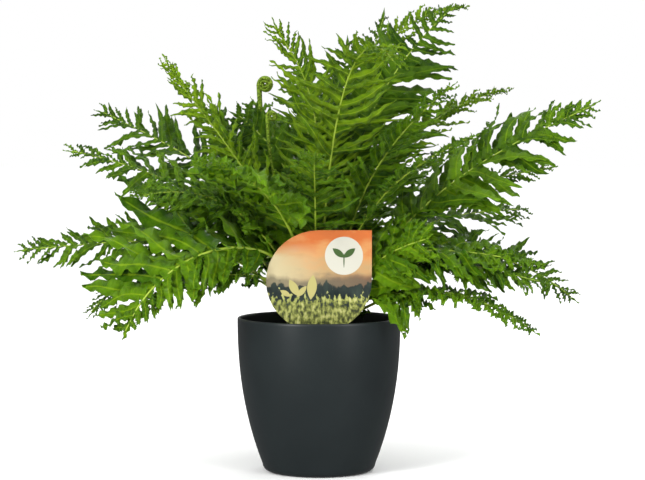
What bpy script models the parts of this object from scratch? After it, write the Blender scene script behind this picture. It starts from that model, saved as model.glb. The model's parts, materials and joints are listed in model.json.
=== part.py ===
"""Potted fern: a plain tapered plastic pot, its soil, a fern with divided fronds and a plant tag.

Metres, +Z up. The origin is the centre of the pot's flat underside, and the front is -Y.
"""
import math

import bmesh
import bpy
from mathutils import Matrix, Vector
from mathutils.bvhtree import BVHTree

# ---------------------------------------------------------------- driving dimensions

# pot
POT_HEIGHT = 0.170
POT_RIM_RADIUS = 0.0905
POT_BASE_RADIUS = 0.0600
POT_WALL = 0.0030
POT_FLOOR = 0.0040
POT_FOOT_ROUND = 0.0075
POT_SIDES = 48
POT_WALL_STEPS = (0.20, 0.45, 0.75)

# soil and crown
FIT_GAP = 0.0003
SOIL_BELOW_RIM = 0.016
CROWN_RADIUS = 0.030
CROWN_HEIGHT = 0.010
CROWN_SIDES = 20

# tag
TAG_WIDTH = 0.114
TAG_HEIGHT = 0.110
TAG_THICKNESS = 0.0008
TAG_CENTRE_Y = -0.0640
TAG_SUNK = 0.011
TAG_SPIKE_WIDTH = 0.016
TAG_SPIKE_DEPTH = 0.045

# fronds
FOLIAGE_SCALE = 1.0
STALK_WIDTH = 0.0028
STALK_DEPTH = 0.0024
LOBE_THICKNESS = 0.0009
LOBE_SPACING = 0.0185
LOBE_FILL = 0.70
LOBE_SWEEP = 62.0
FROND_CLEARANCE = 0.0004
STALK_STATIONS = 4

# height that the soil surface and the frond feet stand at
SOIL_TOP = POT_HEIGHT - SOIL_BELOW_RIM
CROWN_TOP = SOIL_TOP + FIT_GAP + CROWN_HEIGHT
FOOT_HEIGHT = CROWN_TOP + FIT_GAP

# Each frond: name, direction round the pot (degrees, 0 is right and 90 is the back), reach of the tip from
# the pot's axis, height of the tip, slope of the stalk at the foot and of the tip (degrees above level),
# fullness of the arch, share of the length that is bare stalk, roll of the blade, length of the longest
# lobe, age.
FRONDS = (
    ("right_top_dark", 12, 0.152, 0.514, 80, 42, 0.42, 0.34, 62, 0.080, "dark"),
    ("front_tall_light", 305, 0.140, 0.445, 93, -45, 0.42, 0.30, 8, 0.066, "young"),
    ("centre_left_tall", 205, 0.062, 0.494, 86, 46, 0.42, 0.42, 0, 0.050, "young"),
    ("front_left_big", 212, 0.241, 0.162, 84, -66, 0.55, 0.30, -46, 0.078, "bright"),
    ("right_big", 350, 0.305, 0.405, 58, 24, 0.42, 0.36, 46, 0.072, "old"),
    ("left_long", 183, 0.331, 0.245, 62, -4, 0.42, 0.45, -40, 0.058, "old"),
    ("left_upper", 192, 0.277, 0.355, 66, 12, 0.42, 0.40, -34, 0.062, "old"),
    ("left_top_dark", 165, 0.260, 0.400, 76, 24, 0.42, 0.38, -30, 0.070, "dark"),
    ("left_top_young", 184, 0.172, 0.455, 78, 54, 0.42, 0.42, 40, 0.048, "young"),
    ("left_centre_high", 160, 0.100, 0.398, 84, 34, 0.42, 0.30, -50, 0.060, "dark"),
    ("left_centre_front", 216, 0.088, 0.350, 84, 16, 0.42, 0.34, -30, 0.048, "dark"),
    ("front_left_light", 240, 0.212, 0.338, 82, 14, 0.42, 0.36, -14, 0.060, "bright"),
    ("rim_right_bright", 322, 0.150, 0.262, 56, 14, 0.42, 0.28, 34, 0.052, "bright"),
    ("right_droop", 353, 0.282, 0.190, 66, -44, 0.42, 0.38, 34, 0.058, "dark"),
    ("right_low_light", 334, 0.254, 0.162, 32, -34, 0.42, 0.40, 0, 0.044, "bright"),
    ("left_low_dark", 205, 0.262, 0.180, 66, -50, 0.42, 0.41, -22, 0.052, "dark"),
    ("right_wispy", 28, 0.250, 0.425, 72, 10, 0.42, 0.50, 20, 0.036, "young"),
    ("right_back_tall", 60, 0.155, 0.516, 86, 56, 0.42, 0.36, 24, 0.066, "dark"),
    ("back_tall_dark", 76, 0.145, 0.485, 86, 58, 0.42, 0.36, 10, 0.060, "dark"),
    ("back_tall", 84, 0.125, 0.455, 86, 50, 0.42, 0.36, 0, 0.060, "old"),
    ("right_top_wisp", 20, 0.186, 0.517, 84, 2, 0.42, 0.68, 20, 0.026, "young"),
    ("left_mid", 150, 0.250, 0.310, 74, 8, 0.42, 0.36, -30, 0.066, "old"),
    ("left_back_high", 125, 0.200, 0.390, 82, 30, 0.42, 0.34, 0, 0.070, "old"),
    ("centre_left_inner", 146, 0.150, 0.420, 84, 44, 0.42, 0.36, 20, 0.064, "dark"),
    ("right_inner_tall", 338, 0.165, 0.425, 82, 36, 0.42, 0.36, 30, 0.060, "old"),
    ("right_thin", 3, 0.262, 0.335, 64, 6, 0.42, 0.42, 30, 0.042, "old"),
    ("front_right_high", 325, 0.200, 0.370, 78, 20, 0.42, 0.36, 10, 0.060, "old"),
    ("right_mid_dark", 28, 0.275, 0.285, 66, 0, 0.42, 0.40, 24, 0.060, "dark"),
    ("left_inner_mid", 176, 0.185, 0.295, 78, -8, 0.42, 0.34, -30, 0.060, "dark"),
    ("front_left_mid", 210, 0.225, 0.275, 74, -12, 0.42, 0.35, -16, 0.064, "old"),
    ("front_left_low", 228, 0.225, 0.185, 62, -40, 0.42, 0.44, -10, 0.044, "old"),
    ("front_centre", 268, 0.150, 0.385, 86, 24, 0.42, 0.36, 0, 0.056, "old"),
    ("front_right_bright", 306, 0.250, 0.232, 72, -12, 0.42, 0.36, 0, 0.062, "bright"),
    ("right_front_mid", 338, 0.262, 0.245, 66, -14, 0.42, 0.37, 20, 0.062, "old"),
    ("rim_right_low", 330, 0.128, 0.196, 50, -36, 0.42, 0.34, 16, 0.036, "bright"),
    ("left_low_back", 163, 0.205, 0.178, 64, -46, 0.42, 0.39, -14, 0.056, "dark"),
    ("back_left_tall", 122, 0.165, 0.430, 82, 40, 0.42, 0.36, 0, 0.060, "old"),
    ("right_low_back", 44, 0.255, 0.195, 66, -38, 0.42, 0.40, 0, 0.058, "old"),
    ("back_right_mid", 64, 0.265, 0.330, 74, 6, 0.42, 0.36, 0, 0.066, "old"),
    ("back_low_right", 76, 0.275, 0.225, 68, -34, 0.42, 0.38, 0, 0.064, "dark"),
    ("back_mid", 98, 0.255, 0.365, 76, 14, 0.42, 0.36, 0, 0.066, "old"),
    ("back_low", 106, 0.270, 0.200, 66, -40, 0.42, 0.38, 0, 0.062, "old"),
    ("back_left_mid", 126, 0.275, 0.275, 70, -12, 0.42, 0.38, 0, 0.064, "dark"),
    ("left_back_low", 142, 0.262, 0.200, 66, -36, 0.42, 0.38, 0, 0.058, "dark"),
)

# Each crozier: name, direction round the pot, place of the foot as a share of the crown's radius,
# reach and height of the coil's centre, radius of the coil, number of turns.
CROZIERS = (
    ("tall", 152, 0.00, 0.068, 0.428, 0.0100, 1.6),
    ("short", 186, 0.40, 0.052, 0.392, 0.0070, 1.2),
)
CROZIER_STALK = 0.0014
CROZIER_SIDES = 5

FROND_COLOURS = {
    "old": (0.045, 0.135, 0.018),
    "dark": (0.028, 0.085, 0.020),
    "bright": (0.085, 0.215, 0.022),
    "young": (0.125, 0.255, 0.035),
}


# ---------------------------------------------------------------- helpers

def clear_scene():
    for obj in list(bpy.data.objects):
        bpy.data.objects.remove(obj, do_unlink=True)


def material(name, colour, roughness, metallic=0.0):
    """Principled material with one colour, made once and shared by name."""
    found = bpy.data.materials.get(name)
    if found:
        return found
    made = bpy.data.materials.new(name)
    made.use_nodes = True
    shader = made.node_tree.nodes["Principled BSDF"]
    shader.inputs["Base Color"].default_value = (*colour, 1.0)
    shader.inputs["Roughness"].default_value = roughness
    shader.inputs["Metallic"].default_value = metallic
    made.diffuse_color = (*colour, 1.0)
    return made


def object_from_bmesh(name, mesh_data, look):
    """Closes a bmesh into a named object with faces turned outward."""
    bmesh.ops.recalc_face_normals(mesh_data, faces=mesh_data.faces)
    mesh = bpy.data.meshes.new(name)
    mesh_data.to_mesh(mesh)
    mesh_data.free()
    obj = bpy.data.objects.new(name, mesh)
    bpy.context.scene.collection.objects.link(obj)
    mesh.materials.append(look)
    return obj


def turned_solid(name, profile, sides, look):
    """Solid of revolution about Z from (radius, height) points that start and end on the axis."""
    bm = bmesh.new()
    rings = []
    for radius, height in profile:
        if radius < 1e-9:
            rings.append([bm.verts.new((0.0, 0.0, height))])
            continue
        ring = []
        for i in range(sides):
            turn = 2.0 * math.pi * i / sides
            ring.append(bm.verts.new((radius * math.cos(turn), radius * math.sin(turn), height)))
        rings.append(ring)
    for lower, upper in zip(rings, rings[1:]):
        for i in range(sides):
            j = (i + 1) % sides
            if len(lower) == 1:
                bm.faces.new((lower[0], upper[i], upper[j]))
            elif len(upper) == 1:
                bm.faces.new((lower[i], lower[j], upper[0]))
            else:
                bm.faces.new((lower[i], lower[j], upper[j], upper[i]))
    return object_from_bmesh(name, bm, look)


def pot_radius(height):
    """Outer radius of the pot: a barrel-like taper that is steep at the foot and upright at the rim."""
    share = height / POT_HEIGHT
    return POT_BASE_RADIUS + (POT_RIM_RADIUS - POT_BASE_RADIUS) * (1.0 - (1.0 - share) ** 2.3)


def inner_profile(gap):
    """Inner face of the pot from the floor's centre up the wall, drawn in by a gap."""
    corner = pot_radius(POT_FLOOR + POT_FOOT_ROUND) - POT_WALL - gap
    outline = [
        (0.0, POT_FLOOR + gap),
        (corner - POT_FOOT_ROUND, POT_FLOOR + gap),
        (corner, POT_FLOOR + POT_FOOT_ROUND / 2.0 + gap),
    ]
    for share in POT_WALL_STEPS:
        outline.append((pot_radius(share * POT_HEIGHT) - POT_WALL - gap, share * POT_HEIGHT))
    return outline


# ---------------------------------------------------------------- pot, soil and crown

def build_pot():
    """One moulded shell: flat underside, rounded foot, barrel taper and a rounded lip."""
    look = material("anthracite_plastic", (0.030, 0.036, 0.040), 0.42)
    outline = [(0.0, 0.0)]
    corner = pot_radius(POT_FOOT_ROUND) - POT_FOOT_ROUND
    for turn in (-90.0, -60.0, -30.0, 0.0):
        angle = math.radians(turn)
        outline.append((
            corner + POT_FOOT_ROUND * math.cos(angle),
            POT_FOOT_ROUND + POT_FOOT_ROUND * math.sin(angle),
        ))
    for share in POT_WALL_STEPS:
        outline.append((pot_radius(share * POT_HEIGHT), share * POT_HEIGHT))
    lip = POT_WALL / 2.0
    for turn in (0.0, 45.0, 90.0, 135.0, 180.0):
        angle = math.radians(turn)
        outline.append((
            POT_RIM_RADIUS - lip + lip * math.cos(angle),
            POT_HEIGHT - lip + lip * math.sin(angle),
        ))
    outline += reversed(inner_profile(0.0))
    return turned_solid("cover_pot", outline, POT_SIDES, look)


def wall_at_soil():
    """Inner radius of the pot at the soil's surface, on the straight run up to the lip."""
    low_height = POT_WALL_STEPS[-1] * POT_HEIGHT
    low_radius = pot_radius(low_height) - POT_WALL
    high_height = POT_HEIGHT - POT_WALL / 2.0
    high_radius = POT_RIM_RADIUS - POT_WALL
    share = (SOIL_TOP - low_height) / (high_height - low_height)
    return low_radius + (high_radius - low_radius) * share


def build_soil():
    """Root ball that fills the pot, with a slot for the tag's spike."""
    look = material("potting_soil", (0.028, 0.018, 0.012), 0.95)
    outline = inner_profile(FIT_GAP)
    outline.append((wall_at_soil() - FIT_GAP, SOIL_TOP))
    outline.append((0.0, SOIL_TOP))
    soil = turned_solid("potting_soil", outline, POT_SIDES, look)
    slot_size = (
        TAG_SPIKE_WIDTH + 2.0 * FIT_GAP,
        TAG_THICKNESS + 2.0 * FIT_GAP,
        2.0 * (TAG_SPIKE_DEPTH + FIT_GAP),
    )
    cut_box(soil, "tag_slot", slot_size, (0.0, TAG_CENTRE_Y, SOIL_TOP))
    return soil


def cut_box(obj, name, size, centre):
    """Subtracts an upright box and keeps the box out of the render."""
    bm = bmesh.new()
    bmesh.ops.create_cube(bm, size=1.0)
    bmesh.ops.scale(bm, vec=size, verts=bm.verts)
    mesh = bpy.data.meshes.new(name)
    bm.to_mesh(mesh)
    bm.free()
    cutter = bpy.data.objects.new(name, mesh)
    cutter.location = centre
    cutter.hide_render = True
    cutter.display_type = "WIRE"
    bpy.context.scene.collection.objects.link(cutter)
    cut = obj.modifiers.new(name, "BOOLEAN")
    cut.operation = "DIFFERENCE"
    cut.solver = "EXACT"
    cut.object = cutter


def build_crown():
    """Short woody stem on the soil: a low drum with a sloping shoulder and a flat top."""
    look = material("crown_scales", (0.075, 0.045, 0.022), 0.90)
    foot = SOIL_TOP + FIT_GAP
    outline = (
        (0.0, foot),
        (CROWN_RADIUS * 1.10, foot),
        (CROWN_RADIUS * 1.06, foot + 0.6 * CROWN_HEIGHT),
        (CROWN_RADIUS, CROWN_TOP),
        (0.0, CROWN_TOP),
    )
    return turned_solid("fern_crown", outline, CROWN_SIDES, look)


# ---------------------------------------------------------------- tag

def build_tag():
    """Teardrop card with one sharp corner at the top right, and a spike that stands in the soil."""
    look = material("tag_card", (0.55, 0.42, 0.22), 0.45)
    half_width = TAG_WIDTH / 2.0
    half_height = TAG_HEIGHT / 2.0
    centre_z = POT_HEIGHT - TAG_SUNK + half_height
    outline = []
    for turn in range(100, 361, 10):
        if turn == 270:
            outline += spike_outline(centre_z, half_width, half_height)
            continue
        angle = math.radians(turn)
        outline.append((half_width * math.cos(angle), centre_z + half_height * math.sin(angle)))
    outline.append((half_width, centre_z + half_height))
    outline.append((0.0, centre_z + half_height))
    bm = bmesh.new()
    back = TAG_CENTRE_Y + TAG_THICKNESS / 2.0
    face = bm.faces.new([bm.verts.new((x, back, z)) for x, z in outline])
    drawn = bmesh.ops.extrude_face_region(bm, geom=[face])
    moved = [v for v in drawn["geom"] if isinstance(v, bmesh.types.BMVert)]
    bmesh.ops.translate(bm, vec=(0.0, -TAG_THICKNESS, 0.0), verts=moved)
    return object_from_bmesh("plant_tag", bm, look)


def spike_outline(centre_z, half_width, half_height):
    """Corners of the spike below the card, from its left root round its point to its right root."""
    half = TAG_SPIKE_WIDTH / 2.0
    root = centre_z - half_height * math.sqrt(1.0 - (half / half_width) ** 2)
    point = SOIL_TOP - TAG_SPIKE_DEPTH
    return [(-half, root), (-half, point + half), (0.0, point), (half, point + half), (half, root)]


# ---------------------------------------------------------------- fronds

def bezier(points, t):
    a, b, c, d = points
    s = 1.0 - t
    return a * s ** 3 + b * 3.0 * s * s * t + c * 3.0 * s * t * t + d * t ** 3


def frond_curve(foot, tip, foot_slope, tip_slope, fullness):
    """Control points of the arch that a frond's stalk and rachis follow, in one upright plane."""
    level = Vector((tip.x - foot.x, tip.y - foot.y, 0.0)).normalized()
    up = Vector((0.0, 0.0, 1.0))
    rise = level * math.cos(math.radians(foot_slope)) + up * math.sin(math.radians(foot_slope))
    fall = level * math.cos(math.radians(tip_slope)) + up * math.sin(math.radians(tip_slope))
    handle = fullness * (tip - foot).length
    return (foot, foot + rise * handle, tip - fall * handle, tip), level


def even_points(control, count):
    """Points at equal steps of length along the arch."""
    fine = [bezier(control, i / 80.0) for i in range(81)]
    lengths = [0.0]
    for a, b in zip(fine, fine[1:]):
        lengths.append(lengths[-1] + (b - a).length)
    points = []
    k = 0
    for i in range(count + 1):
        goal = lengths[-1] * i / count
        while k < 79 and lengths[k + 1] < goal:
            k += 1
        share = (goal - lengths[k]) / max(lengths[k + 1] - lengths[k], 1e-12)
        points.append(fine[k].lerp(fine[k + 1], share))
    return points, lengths[-1]


def point_at(points, share):
    """Point and direction at a share of the length along evenly spaced points."""
    place = min(max(share, 0.0), 1.0) * (len(points) - 1)
    k = min(int(place), len(points) - 2)
    here = points[k].lerp(points[k + 1], place - k)
    before = points[max(k - 1, 0)]
    after = points[min(k + 2, len(points) - 1)]
    return here, (after - before).normalized()


def lobe_share(u):
    """Relative lobe length along the blade: short at the first pair, longest at a third, fine at the tip."""
    rise = 0.62 + 0.38 * math.sin(min(u / 0.34, 1.0) * math.pi / 2.0)
    fall = 1.0 - 0.86 * max(0.0, (u - 0.34) / 0.66) ** 1.35
    return rise * fall


def blade_frame(level, along, roll):
    """Width and upper-side directions of a blade that is rolled about its rachis."""
    side = Vector((level.y, -level.x, 0.0))
    side = (side - along * side.dot(along)).normalized()
    upper = side.cross(along).normalized()
    turn = Matrix.Rotation(math.radians(roll), 3, along)
    return turn @ side, turn @ upper


def frond_mesh(foot, tip, spec, swell):
    """Bmesh of one frond: square stalk and rachis, with each lobe drawn out of a side face of the rachis."""
    foot_slope, tip_slope, fullness, bare, roll, lobe_length = spec
    control, level = frond_curve(foot, tip, foot_slope, tip_slope, fullness)
    points, length = even_points(control, 40)
    blade = length * (1.0 - bare)
    pairs = max(5, round(blade * 0.93 / (LOBE_SPACING * FOLIAGE_SCALE)))
    bm = bmesh.new()
    rings = []
    stations = [bare * i / STALK_STATIONS for i in range(STALK_STATIONS)]
    stations += [bare + (1.0 - bare) * 0.93 * i / pairs for i in range(pairs + 1)]
    for share in stations:
        here, along = point_at(points, share)
        side, upper = blade_frame(level, along, roll * min(1.0, share / bare))
        thin = 1.0 - 0.62 * share
        half_w = STALK_WIDTH / 2.0 * thin + swell
        half_d = STALK_DEPTH / 2.0 * thin + swell
        corners = (
            here - side * half_w + upper * half_d,
            here + side * half_w + upper * half_d,
            here + side * half_w - upper * half_d,
            here - side * half_w - upper * half_d,
        )
        if share == 0.0:
            lift = Vector((0.0, 0.0, FOOT_HEIGHT - min(c.z for c in corners)))
            corners = [c + lift for c in corners]
        rings.append(([bm.verts.new(c) for c in corners], share, along, side, upper))
    bm.faces.new(rings[0][0])
    for k, (low, high) in enumerate(zip(rings, rings[1:])):
        a, b = low[0], high[0]
        bm.faces.new((a[0], b[0], b[1], a[1]))
        bm.faces.new((a[2], b[2], b[3], a[3]))
        if k < STALK_STATIONS:
            bm.faces.new((a[1], b[1], b[2], a[2]))
            bm.faces.new((a[3], b[3], b[0], a[0]))
            continue
        u = (k - STALK_STATIONS + 0.5) / pairs
        reach = lobe_length * FOLIAGE_SCALE * lobe_share(u)
        lobe(bm, (a[1], b[1], b[2], a[2]), low, 1.0, reach, u, swell)
        lobe(bm, (b[0], a[0], a[3], b[3]), low, -1.0, reach, u, swell)
    point = bm.verts.new(points[-1])
    last = rings[-1][0]
    for i in range(4):
        bm.faces.new((last[i], point, last[(i + 1) % 4]))
    return bm


def lobe(bm, base, station, hand, reach, u, swell):
    """One lobe: the rachis side face drawn outward to a widest station and on to a point."""
    _, _, along, side, upper = station
    centre = sum((v.co for v in base), Vector()) / 4.0
    span = ((base[1].co + base[2].co) - (base[0].co + base[3].co)) / 2.0
    if hand < 0:
        span = -span
    sweep = math.radians(LOBE_SWEEP - 16.0 * u)
    out = side * (hand * math.sin(sweep)) + along * math.cos(sweep)
    half_width = LOBE_FILL * span.length / 2.0 * math.sin(sweep) + swell
    half_thick = LOBE_THICKNESS / 2.0 + swell
    middle = centre + out * (0.48 * reach) + upper * (0.05 * reach)
    tip = centre + out * reach - upper * (0.10 * reach) + along * (0.10 * reach)
    wide = (along - out * along.dot(out)).normalized() * half_width
    near = [bm.verts.new(middle - wide + upper * half_thick)]
    near.append(bm.verts.new(middle + wide + upper * half_thick))
    near.append(bm.verts.new(middle + wide - upper * half_thick))
    near.append(bm.verts.new(middle - wide - upper * half_thick))
    if hand < 0:
        near = [near[1], near[0], near[3], near[2]]
    point = bm.verts.new(tip)
    for i in range(4):
        j = (i + 1) % 4
        bm.faces.new((base[i], base[j], near[j], near[i]))
        bm.faces.new((near[i], near[j], point))


def foot_places():
    """Places of the stalks on the crown: steep fronds on the inner rings, spreading ones outside."""
    def steepness(row):
        return (row[3] - FOOT_HEIGHT) / row[2]

    order = sorted(range(len(FRONDS)), key=lambda i: -steepness(FRONDS[i]))
    rings = ((7, 0.24), (14, 0.56), (len(FRONDS) - 21, 0.88))
    places = {}
    start = 0
    for count, share in rings:
        members = sorted(order[start:start + count], key=lambda i: FRONDS[i][1])
        start += count
        radius = share * CROWN_RADIUS
        slots = [360.0 * j / count for j in range(count)]
        aims = [FRONDS[i][1] for i in members]
        shift = sum(a - s for a, s in zip(aims, slots)) / count
        for i, slot in zip(members, slots):
            turn = math.radians(slot + shift)
            places[i] = Vector((radius * math.cos(turn), radius * math.sin(turn), FOOT_HEIGHT))
    return places


def tip_place(row, turn, lift):
    """Tip of a frond after a small turn about the pot's axis and a small change of height."""
    angle = math.radians(row[1] + turn)
    reach = row[2] * FOLIAGE_SCALE
    height = POT_HEIGHT + (row[3] - 0.170) * FOLIAGE_SCALE + lift
    return Vector((reach * math.cos(angle), reach * math.sin(angle), height))


def leanings():
    """Small changes of direction, height and roll, nearest to the wanted lie first."""
    tries = []
    for turn in range(-36, 37, 4):
        for lift in range(-4, 5):
            for roll in range(-40, 41, 10):
                cost = abs(turn) / 10.0 + abs(lift) / 2.2 + abs(roll) / 30.0
                tries.append((cost, turn, lift * 0.008, roll))
    tries.sort()
    return [t[1:] for t in tries]


def tree_of(verts, faces):
    return BVHTree.FromPolygons(verts, faces, all_triangles=False, epsilon=0.0)


class Obstacles:
    """Faces of everything that is already in place."""

    def __init__(self):
        self.verts = []
        self.faces = []

    def add(self, verts, faces):
        start = len(self.verts)
        self.verts += [v.copy() for v in verts]
        self.faces += [tuple(start + i for i in f) for f in faces]

    def add_object(self, obj):
        self.add([v.co for v in obj.data.vertices], [tuple(p.vertices) for p in obj.data.polygons])

    def add_bmesh(self, bm):
        bm.verts.index_update()
        self.add([v.co for v in bm.verts], [tuple(v.index for v in f.verts) for f in bm.faces])

    def tree(self):
        return tree_of(self.verts, self.faces)


def bmesh_tree(bm):
    bmesh.ops.triangulate(bm, faces=bm.faces)
    return BVHTree.FromBMesh(bm, epsilon=0.0)


def place_frond(row, foot, obstacles, tries):
    """Finds the lie nearest to the wanted one in which a slightly swollen frond touches nothing."""
    name, _, _, _, foot_slope, tip_slope, fullness, bare, roll, lobe_length, age = row
    tree = obstacles.tree()
    best = None
    for turn, lift, extra in tries:
        spec = (foot_slope, tip_slope, fullness, bare, roll + extra, lobe_length)
        trial = frond_mesh(foot, tip_place(row, turn, lift), spec, FROND_CLEARANCE)
        hits = len(bmesh_tree(trial).overlap(tree))
        trial.free()
        if best is None or hits < best[0]:
            best = (hits, turn, lift, extra)
        if hits == 0:
            break
    hits, turn, lift, extra = best
    print("frond", name, "hits", hits, "turn", turn, "lift", round(lift, 3), "roll", extra)
    spec = (foot_slope, tip_slope, fullness, bare, roll + extra, lobe_length)
    made = frond_mesh(foot, tip_place(row, turn, lift), spec, 0.0)
    bmesh.ops.triangulate(made, faces=made.faces)
    obstacles.add_bmesh(made)
    look = material("frond_" + age, FROND_COLOURS[age], 0.45)
    return object_from_bmesh("frond_" + name, made, look)


def crozier_line(row):
    """Centre line of a rolled-up frond: a rising stalk, then a coil that winds inward toward the axis."""
    _, direction, foot_share, reach, height, coil, turns = row
    level = Vector((math.cos(math.radians(direction)), math.sin(math.radians(direction)), 0.0))
    up = Vector((0.0, 0.0, 1.0))
    foot = level * (foot_share * CROWN_RADIUS) + up * FOOT_HEIGHT
    centre = level * (reach * FOLIAGE_SCALE)
    centre += up * (POT_HEIGHT + (height - POT_HEIGHT) * FOLIAGE_SCALE)
    start = centre + level * coil
    drop = 0.40 * (start - foot).length
    stalk = (foot, foot + up * drop, start - up * drop, start)
    line = [bezier(stalk, i / 6.0) for i in range(6)]
    steps = round(12 * turns)
    for i in range(steps + 1):
        angle = 2.0 * math.pi * turns * i / steps
        radius = coil * (1.0 - 0.72 * i / steps)
        line.append(centre + level * (radius * math.cos(angle)) + up * (radius * math.sin(angle)))
    return line, Vector((level.y, -level.x, 0.0))


def build_crozier(row):
    """Young frond still rolled up: a round stalk that thins to the inner end of its coil."""
    line, side = crozier_line(row)
    bm = bmesh.new()
    rings = []
    for k, here in enumerate(line):
        before = line[max(k - 1, 0)]
        after = line[min(k + 1, len(line) - 1)]
        along = (after - before).normalized() if k else Vector((0.0, 0.0, 1.0))
        upper = side.cross(along)
        radius = CROZIER_STALK * (1.0 - 0.45 * k / len(line))
        ring = []
        for i in range(CROZIER_SIDES):
            turn = 2.0 * math.pi * i / CROZIER_SIDES
            offset = side * math.cos(turn) + upper * math.sin(turn)
            ring.append(bm.verts.new(here + offset * radius))
        rings.append(ring)
    bm.faces.new(rings[0])
    bm.faces.new(rings[-1])
    for low, high in zip(rings, rings[1:]):
        for i in range(CROZIER_SIDES):
            j = (i + 1) % CROZIER_SIDES
            bm.faces.new((low[i], low[j], high[j], high[i]))
    look = material("crozier_green", (0.110, 0.125, 0.030), 0.55)
    return object_from_bmesh("crozier_" + row[0], bm, look)


def build_fronds(obstacles):
    places = foot_places()
    tries = leanings()
    for i, row in enumerate(FRONDS):
        place_frond(row, places[i], obstacles, tries)


# ---------------------------------------------------------------- assembly

def main():
    clear_scene()
    pot = build_pot()
    soil = build_soil()
    crown = build_crown()
    tag = build_tag()
    obstacles = Obstacles()
    croziers = [build_crozier(row) for row in CROZIERS]
    for obj in (pot, soil, crown, tag, *croziers):
        obstacles.add_object(obj)
    build_fronds(obstacles)


main()
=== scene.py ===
import heapq
import json
import math
import random

import bmesh
import bpy
import numpy as np
from mathutils import Matrix, Vector


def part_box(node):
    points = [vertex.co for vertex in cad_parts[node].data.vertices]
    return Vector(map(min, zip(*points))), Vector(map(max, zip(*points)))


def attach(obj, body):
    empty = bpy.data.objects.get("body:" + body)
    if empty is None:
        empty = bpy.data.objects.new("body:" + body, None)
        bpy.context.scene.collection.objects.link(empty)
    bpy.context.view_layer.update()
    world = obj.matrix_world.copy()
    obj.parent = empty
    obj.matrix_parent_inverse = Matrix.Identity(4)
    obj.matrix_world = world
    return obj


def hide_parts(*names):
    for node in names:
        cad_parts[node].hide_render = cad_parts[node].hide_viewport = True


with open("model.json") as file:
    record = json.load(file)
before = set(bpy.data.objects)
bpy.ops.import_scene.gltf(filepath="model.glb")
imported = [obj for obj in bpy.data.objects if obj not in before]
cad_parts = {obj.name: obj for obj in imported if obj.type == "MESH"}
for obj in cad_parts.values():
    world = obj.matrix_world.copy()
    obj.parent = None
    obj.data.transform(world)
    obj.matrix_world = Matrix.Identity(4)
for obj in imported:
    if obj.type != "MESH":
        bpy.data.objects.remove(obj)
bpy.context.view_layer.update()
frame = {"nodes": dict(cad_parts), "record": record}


# ------------------------------------------------------------------ studio
# A wide pale floor under a soft white ceiling that darkens toward the horizon. A tall lamp stands in front
# on each side, the stronger one on the left, and a smaller one behind. The camera is 2.2 m off.

def nothing_selected():
    if bpy.context.object and bpy.context.object.mode != "OBJECT":
        bpy.ops.object.mode_set(mode="OBJECT")
    bpy.ops.object.select_all(action="DESELECT")


def new_material(name):
    """Material with its Principled node, ready for a pattern."""
    made = bpy.data.materials.new(name)
    made.use_nodes = True
    return made, made.node_tree.nodes, made.node_tree.links, made.node_tree.nodes["Principled BSDF"]


def ramp(nodes, links, source, *stops):
    """Colour ramp fed by a socket, with a stop for each (place, colour)."""
    made = nodes.new("ShaderNodeValToRGB")
    for k, (place, colour) in enumerate(stops):
        stop = made.color_ramp.elements[k] if k < 2 else made.color_ramp.elements.new(place)
        stop.position = place
        stop.color = (*colour, 1.0)
    links.new(source, made.inputs["Fac"])
    return made.outputs["Color"]


nothing_selected()
bpy.ops.mesh.primitive_plane_add(size=60.0, location=(0.0, 0.0, -0.0005))
floor = bpy.context.object
floor.name = "studio_floor"
floor_paint, nodes, links, shader = new_material("studio_white")
shader.inputs["Base Color"].default_value = (0.95, 0.95, 0.95, 1.0)
shader.inputs["Roughness"].default_value = 0.95
shader.inputs["Specular IOR Level"].default_value = 0.1
floor.data.materials.append(floor_paint)
floor.visible_glossy = False  # the satin pot would mirror so wide a floor and turn grey

room = bpy.data.worlds.new("studio_room")
room.use_nodes = True
nodes, links = room.node_tree.nodes, room.node_tree.links
way_up = nodes.new("ShaderNodeSeparateXYZ")
links.new(nodes.new("ShaderNodeTexCoord").outputs["Generated"], way_up.inputs["Vector"])
ceiling = ramp(nodes, links, way_up.outputs["Z"], (0.0, (0.14, 0.14, 0.14)), (0.70, (1.0, 1.0, 1.0)))
lit = nodes["Background"]
lit.inputs["Strength"].default_value = 1.35
links.new(ceiling, lit.inputs["Color"])
plain = nodes.new("ShaderNodeBackground")
plain.inputs["Color"].default_value = (1.0, 1.0, 1.0, 1.0)
seen = nodes.new("ShaderNodeMixShader")
links.new(nodes.new("ShaderNodeLightPath").outputs["Is Camera Ray"], seen.inputs["Fac"])
links.new(lit.outputs["Background"], seen.inputs[1])
links.new(plain.outputs["Background"], seen.inputs[2])
links.new(seen.outputs["Shader"], nodes["World Output"].inputs["Surface"])
bpy.context.scene.world = room


def soft_lamp(name, place, aim, width, tall, power):
    bpy.ops.object.light_add(type="AREA", location=place)
    lamp = bpy.context.object
    lamp.name = name
    lamp.data.shape = "RECTANGLE"
    lamp.data.size = width
    lamp.data.size_y = tall
    lamp.data.energy = power
    lamp.rotation_mode = "QUATERNION"
    lamp.rotation_quaternion = (Vector(aim) - Vector(place)).to_track_quat("-Z", "Y")


soft_lamp("key_lamp", (-1.5, -1.8, 1.10), (0.0, 0.0, 0.3), 0.60, 1.7, 50.0)
soft_lamp("fill_lamp", (1.6, -1.8, 0.95), (0.0, 0.0, 0.25), 0.60, 1.7, 26.0)
soft_lamp("back_lamp", (0.7, 2.2, 1.5), (0.0, 0.0, 0.3), 1.2, 0.8, 16.0)

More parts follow.
